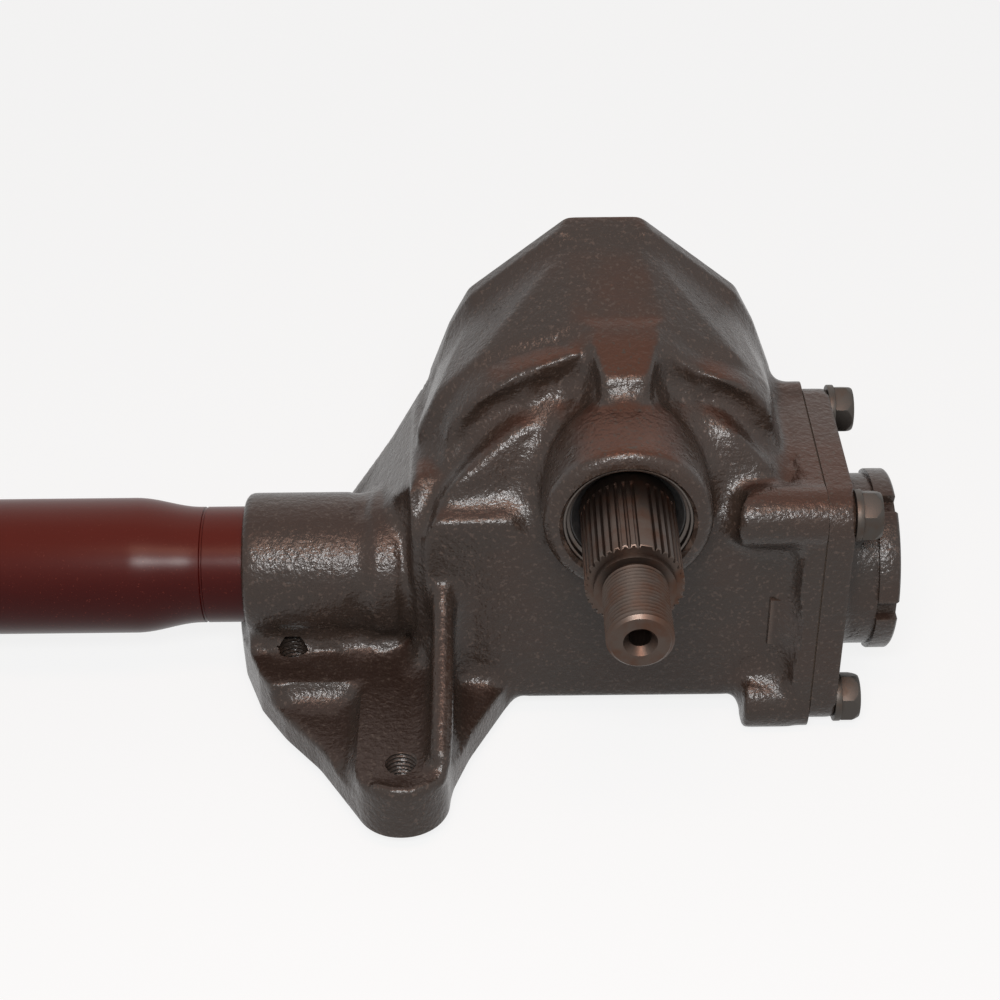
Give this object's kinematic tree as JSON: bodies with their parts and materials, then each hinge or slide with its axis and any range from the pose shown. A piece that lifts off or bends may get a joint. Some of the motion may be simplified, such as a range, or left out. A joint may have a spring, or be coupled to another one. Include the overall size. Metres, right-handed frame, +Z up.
{
  "type": "steering gearbox",
  "caption": "Recirculating-ball steering gearbox: dark painted cast housing with a splined output shaft, a bolted end cover and a red column jacket around its steering shaft.",
  "frame": {"origin": "on the axis of the output shaft, at the shoulder where its thread starts", "axes": "-Y along the output shaft, out of its threaded end; +X along the worm, from the column jacket to the end cover; +Z up, away from the mounting face"},
  "size_m": [0.4733, 0.1725, 0.1494],
  "materials": {
    "casting_paint": "semi-gloss dark brown paint over a sand-cast skin",
    "oxide_red_paint": "satin oxide-red paint",
    "machined_steel": "turned and ground",
    "shaft_steel": "turned, with a warm brown tint",
    "bolt_steel": "plain grey steel",
    "bright_steel": "ground and polished",
    "bronze": "sintered bronze",
    "seal_rubber": "black moulded rubber",
    "gasket_paper": "oiled fibre paper",
    "nylon": "moulded nylon"
  },
  "bodies": {
    "housing": {"gear_housing": "casting_paint", "jacket_tube": "oxide_red_paint", "jacket_bush": "nylon", "end_cover": "casting_paint", "end_cover_gasket": "gasket_paper", "end_cover_bolts": "bolt_steel", "end_cover_lock_washers": "bolt_steel", "worm_bearing_adjuster": "machined_steel", "adjuster_locknut": "casting_paint", "upper_bearing_cup": "bright_steel", "lower_bearing_cup": "bright_steel", "worm_seal": "seal_rubber", "sector_bushing_outer": "bronze", "sector_bushing_inner": "bronze", "sector_seal_case": "machined_steel", "sector_seal_lip": "seal_rubber", "seal_spring": "bright_steel", "side_cover": "casting_paint", "side_cover_gasket": "gasket_paper", "side_cover_bolts": "bolt_steel", "side_cover_lock_washers": "bolt_steel", "side_cover_bushing": "bronze", "lash_screw": "machined_steel", "lash_shim": "machined_steel", "lash_locknut": "bolt_steel"},
    "steering": {"steering_shaft": "machined_steel", "worm": "machined_steel"},
    "upper_bearing": {"upper_bearing_balls": "bright_steel", "upper_bearing_cage": "bronze"},
    "lower_bearing": {"lower_bearing_balls": "bright_steel", "lower_bearing_cage": "bronze"},
    "nut": {"ball_nut": "machined_steel", "nut_balls": "bright_steel", "ball_guides": "machined_steel", "guide_clamp": "machined_steel", "guide_clamp_screw": "bolt_steel"},
    "sector": {"sector_shaft": "shaft_steel"}
  },
  "joints": [
    {"name": "worm_turn", "type": "hinge", "parent": "housing", "child": "steering", "pos_m": [0, 0.079, -0.049], "axis": [1, 0, 0], "range_deg": [-800, 800]},
    {"name": "upper_bearing_turn", "type": "hinge", "parent": "housing", "child": "upper_bearing", "pos_m": [0, 0.079, -0.049], "axis": [1, 0, 0], "range_deg": [-322, 322]},
    {"name": "lower_bearing_turn", "type": "hinge", "parent": "housing", "child": "lower_bearing", "pos_m": [0, 0.079, -0.049], "axis": [1, 0, 0], "range_deg": [-322, 322]},
    {"name": "nut_slide", "type": "slide", "parent": "housing", "child": "nut", "axis": [1, 0, 0], "range_m": [-0.0196, 0.0196]},
    {"name": "sector_turn", "type": "hinge", "parent": "housing", "child": "sector", "pos_m": [0, 0, 0], "axis": [0, 1, 0], "range_deg": [-40, 40]}
  ],
  "couplings": [
    {"joint": "nut_slide", "follows": "worm_turn", "m_per_rad": -0.0014},
    {"joint": "sector_turn", "follows": "worm_turn", "ratio": 0.05},
    {"joint": "upper_bearing_turn", "follows": "worm_turn", "ratio": 0.4},
    {"joint": "lower_bearing_turn", "follows": "worm_turn", "ratio": 0.4}
  ]
}
